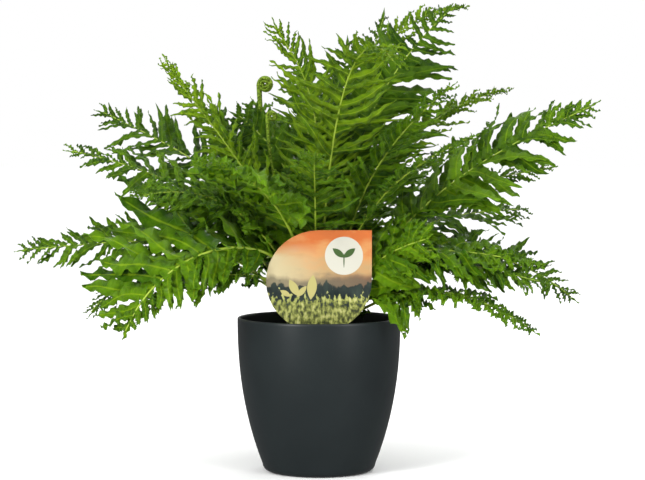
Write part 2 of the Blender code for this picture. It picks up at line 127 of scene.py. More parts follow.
CAMERA_PLACE = (0.0039, -2.2, 0.36)
CAMERA_DOWN = math.radians(2.72)
CAMERA_LENS = 110.9
bpy.ops.object.camera_add(location=CAMERA_PLACE, rotation=(math.pi / 2.0 - CAMERA_DOWN, 0.0, 0.0))
camera = bpy.context.object
camera.data.lens = CAMERA_LENS
camera.data.sensor_width = 36.0
bpy.context.scene.camera = camera
bpy.context.scene.view_settings.view_transform = "Standard"


# ------------------------------------------------------------------ pot
# The pot is one injection moulding in dark grey polypropylene with a fine satin skin. It tapers like a
# barrel to a rounded foot, and its lip is rolled smooth where the mould halves meet.

def select_faces(obj, wanted):
    """In edit mode, selects the faces that a test on their centre and normal picks out."""
    bpy.ops.mesh.select_mode(type="FACE")
    bpy.ops.mesh.select_all(action="DESELECT")
    shape = bmesh.from_edit_mesh(obj.data)
    for face in shape.faces:
        face.select_set(wanted(face.calc_center_median(), face.normal))
    shape.select_flush(True)
    bmesh.update_edit_mesh(obj.data)


def raise_cap(height, widen):
    """Extrudes the selected cap by a height, then widens or narrows it."""
    bpy.ops.mesh.extrude_region_move(TRANSFORM_OT_translate={"value": (0.0, 0.0, height)})
    if abs(widen - 1.0) > 1e-9:
        bpy.ops.transform.resize(value=(widen, widen, 1.0), center_override=(0.0, 0.0, 0.0))


def finish_piece(obj, name, look, slot, *nodes_replaced):
    """Puts the piece's place into its mesh, names it and seats it on the root body."""
    nothing_selected()
    obj.select_set(True)
    bpy.context.view_layer.objects.active = obj
    bpy.ops.object.transform_apply(location=True, rotation=True, scale=True)
    obj.name = name
    obj.data.name = name
    if look is not None:
        obj.data.materials.clear()
        obj.data.materials.append(look)
    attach(obj, "root")
    if nodes_replaced:
        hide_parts(*nodes_replaced)


def noise(nodes, links, scale, detail):
    """Noise over the piece's own coordinates."""
    made = nodes.new("ShaderNodeTexNoise")
    made.inputs["Scale"].default_value = scale
    made.inputs["Detail"].default_value = detail
    links.new(nodes.new("ShaderNodeTexCoord").outputs["Object"], made.inputs["Vector"])
    return made


def mapped(nodes, links, source, to_low, to_high, from_low=0.0, from_high=1.0):
    """A socket's value moved from one range to another."""
    made = nodes.new("ShaderNodeMapRange")
    ends = {"From Min": from_low, "From Max": from_high, "To Min": to_low, "To Max": to_high}
    for name, value in ends.items():
        made.inputs[name].default_value = value
    links.new(source, made.inputs["Value"])
    return made.outputs["Result"]


def raise_skin(nodes, links, shader, height, strength, distance):
    """Bump on the shader's normal."""
    made = nodes.new("ShaderNodeBump")
    made.inputs["Strength"].default_value = strength
    made.inputs["Distance"].default_value = distance
    links.new(height, made.inputs["Height"])
    links.new(made.outputs["Normal"], shader.inputs["Normal"])


pot_low, pot_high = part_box("cover_pot")
POT_HEIGHT = pot_high.z
RIM_RADIUS = pot_high.x
FOOT_RADIUS = 0.0600
FOOT_ROUND = 0.0075
POT_WALL = 0.0030
POT_FLOOR = 0.0040
POT_SWELL = 2.3
POT_SIDES = 112
WALL_STEPS = 12


def pot_radius(height):
    return FOOT_RADIUS + (RIM_RADIUS - FOOT_RADIUS) * (1.0 - (1.0 - height / POT_HEIGHT) ** POT_SWELL)


def wall_height(step):
    return FOOT_ROUND + (POT_HEIGHT - POT_WALL - FOOT_ROUND) * step / WALL_STEPS


# radius and height of each ring: the rounded foot, up the outside, over the lip, down the inside
foot_flat = pot_radius(FOOT_ROUND) - FOOT_ROUND
pot_rings = [(foot_flat, 0.0)]
for turn in (-67.5, -45.0, -22.5, 0.0):
    angle = math.radians(turn)
    pot_rings.append((foot_flat + FOOT_ROUND * math.cos(angle), FOOT_ROUND + FOOT_ROUND * math.sin(angle)))
for step in range(1, WALL_STEPS + 1):
    pot_rings.append((pot_radius(wall_height(step)), wall_height(step)))
lip = POT_WALL / 2.0
for turn in (15.0, 45.0, 75.0, 105.0, 135.0, 165.0):
    angle = math.radians(turn)
    pot_rings.append((RIM_RADIUS - lip + lip * math.cos(angle), POT_HEIGHT - lip + lip * math.sin(angle)))
for step in range(WALL_STEPS, 0, -2):
    pot_rings.append((pot_radius(wall_height(step)) - POT_WALL, wall_height(step)))
pot_rings.append((pot_radius(FOOT_ROUND) - POT_WALL - FOOT_ROUND, POT_FLOOR))

nothing_selected()
bpy.ops.mesh.primitive_circle_add(vertices=POT_SIDES, radius=foot_flat, fill_type="NGON", location=(0, 0, 0))
pot = bpy.context.object
bpy.ops.object.mode_set(mode="EDIT")
bpy.ops.mesh.select_mode(type="FACE")
bpy.ops.mesh.select_all(action="SELECT")
for (radius, height), (next_radius, next_height) in zip(pot_rings, pot_rings[1:]):
    raise_cap(next_height - height, next_radius / radius)
bpy.ops.mesh.select_all(action="SELECT")
bpy.ops.mesh.normals_make_consistent(inside=False)
bpy.ops.object.mode_set(mode="OBJECT")
bpy.ops.object.shade_smooth_by_angle(angle=math.radians(40.0))

pot_plastic, nodes, links, shader = new_material("anthracite_polypropylene")
shader.inputs["Specular IOR Level"].default_value = 0.28
cloud = noise(nodes, links, 14.0, 3.0)
tint = ramp(nodes, links, cloud.outputs["Fac"], (0.30, (0.0105, 0.0145, 0.0155)),
            (0.75, (0.0135, 0.0185, 0.0195)))
links.new(tint, shader.inputs["Base Color"])
grain = noise(nodes, links, 900.0, 2.0)
links.new(mapped(nodes, links, grain.outputs["Fac"], 0.33, 0.41), shader.inputs["Roughness"])
raise_skin(nodes, links, shader, grain.outputs["Fac"], 0.12, 0.0003)
finish_piece(pot, "pot_shell", pot_plastic, "pot_plastic", "cover_pot")


# ------------------------------------------------------------------ soil
# Moist peat-based potting soil fills the pot to just under the lip. Its surface is lumpy, with loose
# crumbs of bark and fibre lying on it.

soil_low, soil_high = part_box("potting_soil")
SOIL_TOP = soil_high.z
SOIL_RADIUS = soil_high.x
SOIL_FOOT = pot_rings[-1][0] - 0.001
SOIL_SIDES = 72
HEAVE = 0.00484
CRUMBS = 240

nothing_selected()
bpy.ops.mesh.primitive_circle_add(
    vertices=SOIL_SIDES, radius=SOIL_FOOT, fill_type="NGON", location=(0, 0, soil_low.z)
)
soil = bpy.context.object
bpy.ops.object.mode_set(mode="EDIT")
bpy.ops.mesh.select_mode(type="FACE")
bpy.ops.mesh.select_all(action="SELECT")
soil_rings = [(SOIL_FOOT, soil_low.z)]
for share in (0.10, 0.30, 0.55, 0.80, 1.0):
    height = soil_low.z + (SOIL_TOP - 0.001 - soil_low.z) * share
    soil_rings.append((min(pot_radius(height) - POT_WALL - 0.0008, SOIL_RADIUS - 0.0002), height))
for (radius, height), (next_radius, next_height) in zip(soil_rings, soil_rings[1:]):
    raise_cap(next_height - height, next_radius / radius)
for inset in (0.003, 0.006, 0.008, 0.009, 0.010, 0.011, 0.012, 0.012):
    bpy.ops.mesh.inset(thickness=inset, depth=0.0)
bpy.ops.mesh.poke()
select_faces(soil, lambda centre, normal: normal.z > 0.9 and centre.z > SOIL_TOP - 0.004)
bpy.ops.mesh.subdivide(number_cuts=1)
bpy.ops.object.mode_set(mode="OBJECT")
lumps = bpy.data.textures.new("soil_lumps", "CLOUDS")
lumps.noise_scale = 0.011
lumps.noise_depth = 3
top_only = soil.vertex_groups.new(name="surface")
surface = [v.index for v in soil.data.vertices
           if v.co.z > SOIL_TOP - 0.002 and math.hypot(v.co.x, v.co.y) < SOIL_RADIUS - 0.003]
top_only.add(surface, 1.0, "REPLACE")
heave = soil.modifiers.new("heave", "DISPLACE")
heave.texture = lumps
heave.texture_coords = "LOCAL"
heave.direction = "Z"
heave.mid_level = 0.75
heave.strength = HEAVE
heave.vertex_group = "surface"
bpy.ops.object.modifier_apply(modifier="heave")

nothing_selected()
bpy.ops.mesh.primitive_ico_sphere_add(subdivisions=1, radius=0.0016, location=(0, 0, 0))
crumb = bpy.context.object
soil_random = random.Random(11)
crumbs = []
for k in range(CRUMBS):
    turn = soil_random.uniform(0.0, 2.0 * math.pi)
    out = (SOIL_RADIUS - 0.006) * math.sqrt(soil_random.uniform(0.13, 1.0))
    copy = crumb.copy()
    copy.data = crumb.data.copy()
    bpy.context.scene.collection.objects.link(copy)
    size = soil_random.uniform(0.5, 1.25)
    stretch = Vector([soil_random.uniform(low, high) for low, high in ((0.6, 1.8), (0.6, 1.2), (0.5, 0.9))])
    copy.data.transform(
        Matrix.Translation((out * math.cos(turn), out * math.sin(turn), SOIL_TOP - 0.0012))
        @ Matrix.Rotation(soil_random.uniform(0.0, 6.28), 4, "Z")
        @ Matrix.Diagonal((*(stretch * size), 1.0))
    )
    crumbs.append(copy)
bpy.data.objects.remove(crumb, do_unlink=True)
nothing_selected()
for copy in crumbs:
    copy.select_set(True)
soil.select_set(True)
bpy.context.view_layer.objects.active = soil
bpy.ops.object.join()
bpy.ops.object.shade_smooth_by_angle(angle=math.radians(50.0))

peat, nodes, links, shader = new_material("moist_peat")
shader.inputs["Roughness"].default_value = 0.92
shader.inputs["Specular IOR Level"].default_value = 0.25
fibre = noise(nodes, links, 260.0, 6.0)
fibre.inputs["Roughness"].default_value = 0.7
earth = ramp(nodes, links, fibre.outputs["Fac"], (0.35, (0.008, 0.005, 0.003)), (0.72, (0.060, 0.036, 0.020)))
links.new(earth, shader.inputs["Base Color"])
raise_skin(nodes, links, shader, fibre.outputs["Fac"], 0.8, 0.0012)
finish_piece(soil, "soil_fill", peat, "soil", "potting_soil")


# ------------------------------------------------------------------ crown
# The crown is the short creeping stem of the fern, a knuckly brown lump wrapped in papery scales, sunk
# in the middle of the soil. Every frond grows out of it.

crown_low, crown_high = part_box("fern_crown")
CROWN_RADIUS = crown_high.x
nothing_selected()
bpy.ops.mesh.primitive_uv_sphere_add(
    segments=48, ring_count=24, radius=1.0, location=(0.0, 0.0, crown_low.z + 0.002)
)
crown = bpy.context.object
bpy.ops.transform.resize(value=(CROWN_RADIUS * 0.96, CROWN_RADIUS * 0.96, crown_high.z - crown_low.z - 0.003))
bpy.ops.object.transform_apply(location=True, rotation=True, scale=True)
knuckles = bpy.data.textures.new("crown_knuckles", "VORONOI")
knuckles.noise_scale = 0.006
swell = crown.modifiers.new("knuckles", "DISPLACE")
swell.texture = knuckles
swell.texture_coords = "LOCAL"
swell.mid_level = 0.8
swell.strength = 0.004
bpy.ops.object.modifier_apply(modifier="knuckles")
bpy.ops.object.shade_smooth()

scales, nodes, links, shader = new_material("brown_scales")
shader.inputs["Roughness"].default_value = 0.85
coords = nodes.new("ShaderNodeTexCoord")
papery = nodes.new("ShaderNodeTexVoronoi")
papery.inputs["Scale"].default_value = 420.0
links.new(coords.outputs["Object"], papery.inputs["Vector"])
brown = ramp(nodes, links, papery.outputs["Distance"], (0.0, (0.022, 0.012, 0.006)),
             (0.6, (0.135, 0.080, 0.034)))
links.new(brown, shader.inputs["Base Color"])
raise_skin(nodes, links, shader, papery.outputs["Distance"], 0.7, 0.001)
finish_piece(crown, "crown_knot", scales, "crown", "fern_crown")


# ------------------------------------------------------------------ fronds
# Each frond is one leaf: a wiry stalk that turns into a pale rib, with long tapering lobes down both sides
# that are frilled along their edges and shorten to a fine tip. Young fronds are narrower and yellower than
# old ones. Three lobes of each of four kinds are shaped once, and every lobe is a bent copy of one.

LOBE_LENGTH = 0.070
LOBE_WIDTH = 0.0150
LEAF_THICKNESS = 0.00035
LOBE_SPANS = 18
LOBE_ROWS = 2
FRILLS = 4.5


def lobe_outline(u, notch, phase, blunt):
    """Half the width of a lobe, as a share of its widest, from its root at 0 to its tip at 1."""
    body = 0.84 + 0.42 * math.exp(-((u / 0.06) ** 2)) + 0.16 * math.sin(math.pi * u)
    taper = (1.0 - u ** blunt) ** 0.95
    scallop = 1.0 - notch * (0.5 + 0.5 * math.sin(2.0 * math.pi * FRILLS * u + phase)) * min(1.0, u / 0.12)
    return max(body * taper * scallop, 0.03)


def shape_lobe(name, width, notch, ruffle, hook, blunt, seed):
    """Models one lobe along X from a grid: columns set to the outline, edges lifted and dropped into frills."""
    rng = random.Random(seed)
    phases = (rng.uniform(0.0, 6.28), rng.uniform(0.0, 6.28))
    nothing_selected()
    bpy.ops.mesh.primitive_grid_add(
        x_subdivisions=LOBE_SPANS, y_subdivisions=LOBE_ROWS, size=1.0, location=(0.0, 0.0, 0.0)
    )
    lobe = bpy.context.object
    lobe.name = name
    bpy.ops.object.mode_set(mode="EDIT")
    bpy.ops.mesh.select_all(action="SELECT")
    bpy.ops.transform.translate(value=(0.5, 0.0, 0.0))
    bpy.ops.transform.resize(value=(LOBE_LENGTH, LOBE_WIDTH * width, 1.0), center_override=(0.0, 0.0, 0.0))
    bpy.ops.mesh.select_mode(type="VERT")
    shape = bmesh.from_edit_mesh(lobe.data)
    columns = {}
    for vert in shape.verts:
        columns.setdefault(round(vert.co.x / LOBE_LENGTH * LOBE_SPANS), []).append(vert.index)
    for span, members in sorted(columns.items()):
        u = span / LOBE_SPANS
        shape = bmesh.from_edit_mesh(lobe.data)
        shape.verts.ensure_lookup_table()
        rows = sorted(members, key=lambda i: shape.verts[i].co.y)
        for side, picked in ((0, rows[:LOBE_ROWS // 2]), (1, rows[LOBE_ROWS // 2 + 1:])):
            pick_verts(lobe, picked)
            narrowing = lobe_outline(u, notch, phases[side], blunt)
            bpy.ops.transform.resize(value=(1.0, narrowing, 1.0), center_override=(0.0, 0.0, 0.0))
            wave = math.sin(2.0 * math.pi * FRILLS * u + phases[side] + 1.2)
            wave += 0.6 * math.sin(2.0 * math.pi * 1.9 * u + 2.0 * phases[1 - side])
            lift = ruffle * wave * min(1.0, u / 0.32) * (1.0 - 0.3 * u)
            bpy.ops.transform.translate(value=(0.0, 0.0, 0.40 * lift + 0.0005))
            pick_verts(lobe, [rows[0] if side == 0 else rows[-1]])
            bpy.ops.transform.translate(value=(0.0, 0.0, 0.60 * lift + 0.0008))
        pick_verts(lobe, members)
        bpy.ops.transform.translate(value=(0.0, hook * u * u, 0.0))
    bpy.ops.object.mode_set(mode="OBJECT")
    thick = lobe.modifiers.new("thickness", "SOLIDIFY")
    thick.thickness = LEAF_THICKNESS
    thick.offset = 0.0
    bpy.ops.object.modifier_apply(modifier="thickness")
    return lobe


def pick_verts(obj, indices):
    shape = bmesh.from_edit_mesh(obj.data)
    shape.verts.ensure_lookup_table()
    for vert in shape.verts:
        vert.select = False
    for i in indices:
        shape.verts[i].select = True
    bmesh.update_edit_mesh(obj.data)


def lobe_arrays(lobe):
    """Corner places, faces and leaf coordinates of a finished lobe, to be copied into fronds."""
    mesh = lobe.data
    verts = np.zeros(len(mesh.vertices) * 3)
    mesh.vertices.foreach_get("co", verts)
    verts = verts.reshape(-1, 3)
    faces = [tuple(p.vertices) for p in mesh.polygons]
    uv = np.zeros(len(mesh.loops) * 2)
    mesh.uv_layers[0].data.foreach_get("uv", uv)
    uv = uv.reshape(-1, 2)
    bpy.data.objects.remove(lobe, do_unlink=True)
    return verts, faces, uv


# name, share of the lobe width, depth of notches, height of frills, sideways hook, bluntness of tip, seed
LOBE_KINDS = {
    "plain": [("lobe_plain_a", 1.00, 0.26, 0.0020, 0.006, 3.2, 3),
              ("lobe_plain_b", 0.92, 0.34, 0.0026, 0.011, 2.8, 4),
              ("lobe_plain_c", 1.10, 0.30, 0.0032, 0.000, 3.8, 5)],
    "frilled": [("lobe_frilled_a", 1.20, 0.30, 0.0040, 0.008, 5.0, 6),
                ("lobe_frilled_b", 1.34, 0.38, 0.0048, 0.002, 6.0, 7),
                ("lobe_frilled_c", 1.10, 0.34, 0.0044, -0.004, 4.4, 11)],
    "broad": [("lobe_broad_a", 1.40, 0.16, 0.0052, 0.006, 6.0, 12),
              ("lobe_broad_b", 1.50, 0.20, 0.0060, 0.000, 7.0, 13),
              ("lobe_broad_c", 1.30, 0.22, 0.0056, 0.010, 5.0, 14)],
    "narrow": [("lobe_narrow_a", 0.72, 0.38, 0.0026, 0.012, 3.0, 8),
               ("lobe_narrow_b", 0.84, 0.34, 0.0030, 0.017, 3.4, 9),
               ("lobe_narrow_c", 0.66, 0.40, 0.0028, -0.006, 2.8, 10)],
}
lobe_sets = {kind: [lobe_arrays(shape_lobe(*row)) for row in rows] for kind, rows in LOBE_KINDS.items()}


# how a CAD frond is read: the size of a ring of its stalk, the least step from ring to ring, and how near
# and far from the rib, and how far along it, a corner counts as the blade there
RING_SIZE = 0.0040
RING_STEP = 0.005
BLADE_NEAR = 0.012
BLADE_FAR = 0.095
BLADE_RUN = 0.035
BLADE_CORNERS = 6
ROLL_RINGS = 4.0


def rib_of(node):
    """Ring centres, directions and sides along a CAD frond's rib from foot to tip, and its longest lobe."""
    shape = bmesh.new()
    shape.from_mesh(frame["nodes"][node].data)
    bmesh.ops.remove_doubles(shape, verts=shape.verts, dist=1e-6)
    shape.verts.ensure_lookup_table()
    places = np.array([v.co for v in shape.verts])
    crown_top = np.array((0.0, 0.0, crown_high.z))
    foot = int(np.argmin(np.linalg.norm(places - crown_top, axis=1)))
    reached = {foot: 0.0}
    came = {}
    queue = [(0.0, foot)]
    while queue:
        far, i = heapq.heappop(queue)
        if far > reached[i]:
            continue
        for edge in shape.verts[i].link_edges:
            j = edge.other_vert(shape.verts[i]).index
            step = far + edge.calc_length()
            if step < reached.get(j, 1e9):
                reached[j] = step
                came[j] = i
                heapq.heappush(queue, (step, j))
    tip = max(reached, key=reached.get)
    chain = [tip]
    while chain[-1] in came:
        chain.append(came[chain[-1]])
    shape.free()
    centres = []
    for i in reversed(chain[1:]):
        near = places[np.linalg.norm(places - places[i], axis=1) < RING_SIZE]
        centre = near.mean(axis=0)
        if not centres or np.linalg.norm(centre - centres[-1]) > RING_STEP:
            centres.append(centre)
    centres.append(places[tip])
    centres = np.array(centres)
    along = np.gradient(centres, axis=0)
    along /= np.linalg.norm(along, axis=1)[:, None]
    level = centres[-1] - centres[0]
    level[2] = 0.0
    level /= np.linalg.norm(level)
    plain_side = np.array((level[1], -level[0], 0.0))
    sides = []
    reach = 0.0
    for centre, way in zip(centres, along):
        offset = places - centre
        run = offset @ way
        across = offset - np.outer(run, way)
        wide = np.linalg.norm(across, axis=1)
        nearby = (wide > BLADE_NEAR) & (np.abs(run) < BLADE_RUN) & (wide < BLADE_FAR)
        if nearby.sum() < BLADE_CORNERS:
            sides.append(None)
            continue
        spread = across[nearby].T @ across[nearby]
        side = np.linalg.eigh(spread)[1][:, -1]
        sides.append(side if side @ plain_side > 0 else -side)
        reach = max(reach, float(wide[nearby].max()))
    known = [s for s in sides if s is not None]
    blade_side = np.mean(known[1:-1] if len(known) > 3 else known, axis=0)
    rolled = []
    for k, way in enumerate(along):
        mix = min(1.0, k / ROLL_RINGS)
        side = plain_side * (1.0 - mix) + blade_side * mix
        side = side - way * (side @ way)
        rolled.append(side / np.linalg.norm(side))
    return centres, along, np.array(rolled), reach


def lobe_share(u, taper):
    """Length of a lobe beside the longest one, from the first pair at 0 to the tip at 1."""
    rise = 0.60 + 0.40 * math.sin(min(u / 0.34, 1.0) * math.pi / 2.0)
    return rise * (1.0 - taper * max(0.0, (u - 0.34) / 0.66) ** 1.7)


# gap between lobes, rib radius, sweep in degrees from the rib, droop, length and width beside the CAD lobe
HABITS = {
    age: {"kind": kind, "gap": gap, "rib": rib, "sweep": sweep, "droop": droop, "long": long, "wide": wide}
    for age, kind, gap, rib, sweep, droop, long, wide in (
        ("old", "plain", 0.0106, 0.0016, 66.0, 0.10, 1.16, 0.80),
        ("dark", "plain", 0.0110, 0.0016, 68.0, 0.12, 1.16, 0.80),
        ("bright", "frilled", 0.0112, 0.0018, 62.0, 0.16, 1.22, 0.86),
        ("young", "narrow", 0.0088, 0.0014, 58.0, 0.04, 1.40, 1.10),
        ("open", "narrow", 0.0104, 0.0018, 74.0, 0.12, 0.96, 0.84))
}
# longer lobes on one hand, degrees of stray, bare share of the stalk, and how much the tip's lobes shorten
COMMON = {"lean": 0.0, "stray": 11.0, "bare": 0.74, "taper": 0.76}
SPECIAL = {
    "frond_front_left_big": {"kind": "broad", "long": 1.36, "wide": 0.90, "rib": 0.0026, "lean": 0.40,
                             "sweep": 72.0, "stray": 4.0, "gap": 0.0128, "taper": 0.90},
    "frond_front_left_light": {"kind": "broad", "long": 1.60, "wide": 0.85, "rib": 0.0022, "stray": 6.0},
    "frond_left_top_dark": {"long": 1.30, "wide": 0.66, "sweep": 64.0, "stray": 6.0},
    "frond_right_top_dark": {"long": 1.22, "wide": 0.86, "sweep": 80.0, "taper": 0.88},
    "frond_right_back_tall": {"taper": 0.90},
    "frond_right_big": {"long": 1.30, "wide": 1.00, "taper": 0.86},
    "frond_rim_right_bright": {"long": 1.45, "wide": 1.05, "bare": 0.42, "droop": 0.30},
    "frond_front_right_bright": {"bare": 0.50, "long": 1.25},
    "frond_right_low_light": {"bare": 0.50, "long": 1.30},
    "frond_rim_right_low": {"kind": "broad", "long": 1.80, "wide": 0.85, "bare": 0.30, "droop": 0.45},
    "frond_left_centre_high": {"long": 1.30, "wide": 1.05},
    "frond_centre_left_inner": {"long": 1.30, "wide": 1.05},
    "frond_back_left_tall": {"long": 1.30, "wide": 1.05},
    "frond_centre_left_tall": {"long": 1.30, "wide": 0.90},
}
RIB_SIDES = 8
RIB_RINGS = 44
BLADE_USED = 0.97
SHORT_LOBES = 0.06
END_LOBE = 0.035
card_low, card_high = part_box("plant_tag")
CARD_CENTRE = 0.214
CARD_ROUND = 1.3
CARD_ROOM = 0.0015
LIP_ROOM = 0.0015
YOUNG_REACH = 0.052


def resting(places):
    """Lifts a lobe that would sink into the pot's wall, so that it lies over the lip."""
    radius = np.hypot(places[:, 0], places[:, 1])
    low = places[:, 2] < POT_HEIGHT + LIP_ROOM
    if (low & (radius < RIM_RADIUS + LIP_ROOM)).any() and radius.max() > SOIL_RADIUS - 0.003:
        over = radius < RIM_RADIUS + 2.0 * LIP_ROOM
        places[over, 2] = np.maximum(places[over, 2], POT_HEIGHT + LIP_ROOM)
    return places


def cuts_through(places):
    """Whether a lobe would pass through the tag."""
    x, z = places[:, 0], places[:, 2]
    in_round = x ** 2 + (z - CARD_CENTRE) ** 2 < CARD_ROUND * card_high.x ** 2
    in_corner = (x > 0.0) & (z > CARD_CENTRE)
    depth = places[(np.abs(x) < card_high.x) & (z < card_high.z) & (in_round | in_corner), 1]
    return bool(len(depth)) and depth.min() < card_high.y + CARD_ROOM and depth.max() > card_low.y - CARD_ROOM


def bent_copy(shape, size, widen, droop, rng):
    """Corners of one lobe, scaled and then twisted, drooped, waved and cupped, each by its own amount."""
    local = shape.copy()
    local[:, 0] *= size
    local[:, 1] *= widen
    local[:, 2] *= 0.6 + 0.4 * size
    share = np.clip(local[:, 0] / (LOBE_LENGTH * max(size, 0.05)), 0.0, 1.0)
    twist = rng.uniform(-0.30, 0.30) + rng.uniform(-0.6, 0.6) * share
    y, z = local[:, 1].copy(), local[:, 2].copy()
    local[:, 1] = y * np.cos(twist) - z * np.sin(twist)
    local[:, 2] = y * np.sin(twist) + z * np.cos(twist)
    local[:, 2] -= (droop + rng.uniform(-0.12, 0.14)) * share ** 2 * size * LOBE_LENGTH
    swing = rng.uniform(0.0, 6.28)
    local[:, 2] += 0.050 * size * LOBE_LENGTH * (np.sin(6.0 * share + swing) - math.sin(swing))
    local[:, 1] += 0.035 * size * LOBE_LENGTH * (np.sin(5.0 * share + 2.0 * swing) - math.sin(2.0 * swing))
    local[:, 2] += rng.uniform(-0.10, 0.30) * np.abs(local[:, 1])
    return local


def laid(local, place, out, fore, up):
    """Local corners carried to a place, along three directions."""
    return place + np.outer(local[:, 0], out) + np.outer(local[:, 1], fore) + np.outer(local[:, 2], up)


def grow_frond(node, age, seed):
    """Sets copies of the lobes down both sides of the rib and returns the whole frond as one mesh object."""
    rng = random.Random(seed)
    centres, along, sides, reach = rib_of(node)
    grown = "open" if age == "young" and reach > YOUNG_REACH else age
    habit = {**COMMON, **HABITS[grown], **SPECIAL.get(node, {})}
    kinds = lobe_sets[habit["kind"]]
    length = np.concatenate(([0.0], np.cumsum(np.linalg.norm(np.diff(centres, axis=0), axis=1))))
    total = length[-1]
    bare = habit["bare"] * length[4]
    blade = total - bare
    verts, faces, uvs, tones, marks = [], [], [], [], []

    def at(distance, table):
        return np.array([np.interp(distance, length, table[:, c]) for c in range(3)])

    def unit(row):
        return row / np.linalg.norm(row)

    def add_lobe(placed, shape_faces, shape_uv, tone):
        start = sum(len(part) for part in verts)
        verts.append(placed)
        faces.extend([start + i for i in face] for face in shape_faces)
        uvs.append(shape_uv)
        tones.extend([tone] * len(placed))
        marks.extend([0] * len(shape_faces))

    pairs = max(7, round(blade * BLADE_USED / habit["gap"]))
    longest = reach * habit["long"]
    for hand in (1.0, -1.0):
        for k in range(pairs):
            u = (k + 0.5 + 0.25 * hand) / pairs
            shape, shape_faces, shape_uv = kinds[rng.randrange(len(kinds))]
            size = longest * (1.0 + hand * habit["lean"]) * lobe_share(u, habit["taper"])
            size = size * rng.uniform(0.80, 1.10) / LOBE_LENGTH
            if rng.random() < SHORT_LOBES:
                size *= rng.uniform(0.40, 0.75)
            widen = habit["wide"] * min(1.15, 0.20 + 0.94 * size) * rng.uniform(0.86, 1.14)
            local = bent_copy(shape, size, widen, habit["droop"], rng)
            sweep = math.radians(habit["sweep"] - 16.0 * u + rng.uniform(-1.0, 1.0) * habit["stray"])
            distance = bare + blade * BLADE_USED * u
            place, way, side = at(distance, centres), unit(at(distance, along)), unit(at(distance, sides))
            out = side * (hand * math.sin(sweep)) + way * math.cos(sweep)
            fore = way * math.sin(sweep) - side * (hand * math.cos(sweep))
            placed = resting(laid(local, place, out, fore, np.cross(side, way)))
            tone = rng.uniform(0.0, 1.0)
            if cuts_through(placed):
                continue
            if hand < 0:  # a lobe laid on the other hand is mirrored, so its faces are turned round
                shape_faces = [face[::-1] for face in shape_faces]
                shape_uv = shape_uv.reshape(-1, 4, 2)[:, ::-1].reshape(-1, 2)
            add_lobe(placed, shape_faces, shape_uv, tone)

    # the lobe that ends the frond
    shape, shape_faces, shape_uv = kinds[0]
    local = shape * np.array((END_LOBE / LOBE_LENGTH, 0.40, 0.5))
    place, way, side = at(total - 0.030, centres), unit(at(total - 0.01, along)), unit(at(total - 0.01, sides))
    add_lobe(laid(local, place, way, -side, np.cross(side, way)), shape_faces, shape_uv, 0.8)

    # the stalk and rib, a tube that thins toward the tip and flares at its foot
    start = sum(len(part) for part in verts)
    turns = np.arange(RIB_SIDES) * 2.0 * math.pi / RIB_SIDES
    for k in range(RIB_RINGS + 1):
        share = k / RIB_RINGS
        distance = total * 0.985 * share
        place, way, side = at(distance, centres), unit(at(distance, along)), unit(at(distance, sides))
        up = np.cross(side, way)
        radius = habit["rib"] * (1.0 - 0.72 * share) * (1.25 if k == 0 else 1.0)
        centre = place + up * 0.4 * radius
        verts.append(centre + np.outer(radius * np.cos(turns), side) + np.outer(radius * np.sin(turns), up))
        tones += [share] * RIB_SIDES
    for k in range(RIB_RINGS):
        a = start + k * RIB_SIDES
        for i in range(RIB_SIDES):
            j = (i + 1) % RIB_SIDES
            faces.append([a + i, a + j, a + RIB_SIDES + j, a + RIB_SIDES + i])
    faces.append([start + i for i in reversed(range(RIB_SIDES))])
    faces.append([start + RIB_RINGS * RIB_SIDES + i for i in range(RIB_SIDES)])
    marks += [1] * (RIB_RINGS * RIB_SIDES + 2)
    uvs.append(np.full((RIB_RINGS * RIB_SIDES * 4 + 2 * RIB_SIDES, 2), 0.5))

    mesh = bpy.data.meshes.new(node)
    mesh.from_pydata(np.vstack(verts).tolist(), [], faces)
    layer = mesh.uv_layers.new(name="leaf")
    layer.data.foreach_set("uv", np.vstack(uvs).ravel())
    tone_data = mesh.attributes.new("tone", "FLOAT", "POINT")
    tone_data.data.foreach_set("value", np.array(tones, dtype=np.float32))
    mesh.polygons.foreach_set("material_index", marks)
    mesh.polygons.foreach_set("use_smooth", [True] * len(faces))
    mesh.update()
    frond = bpy.data.objects.new(node.replace("frond_", "leaf_"), mesh)
    bpy.context.scene.collection.objects.link(frond)
    return frond


def math_node(nodes, links, operation, *values):
    """Math node fed with sockets or numbers; returns its output."""
    made = nodes.new("ShaderNodeMath")
    made.operation = operation
    for socket, value in zip(made.inputs, values):
        if isinstance(value, (int, float)):
            socket.default_value = value
        else:
            links.new(value, socket)
    return made.outputs["Value"]


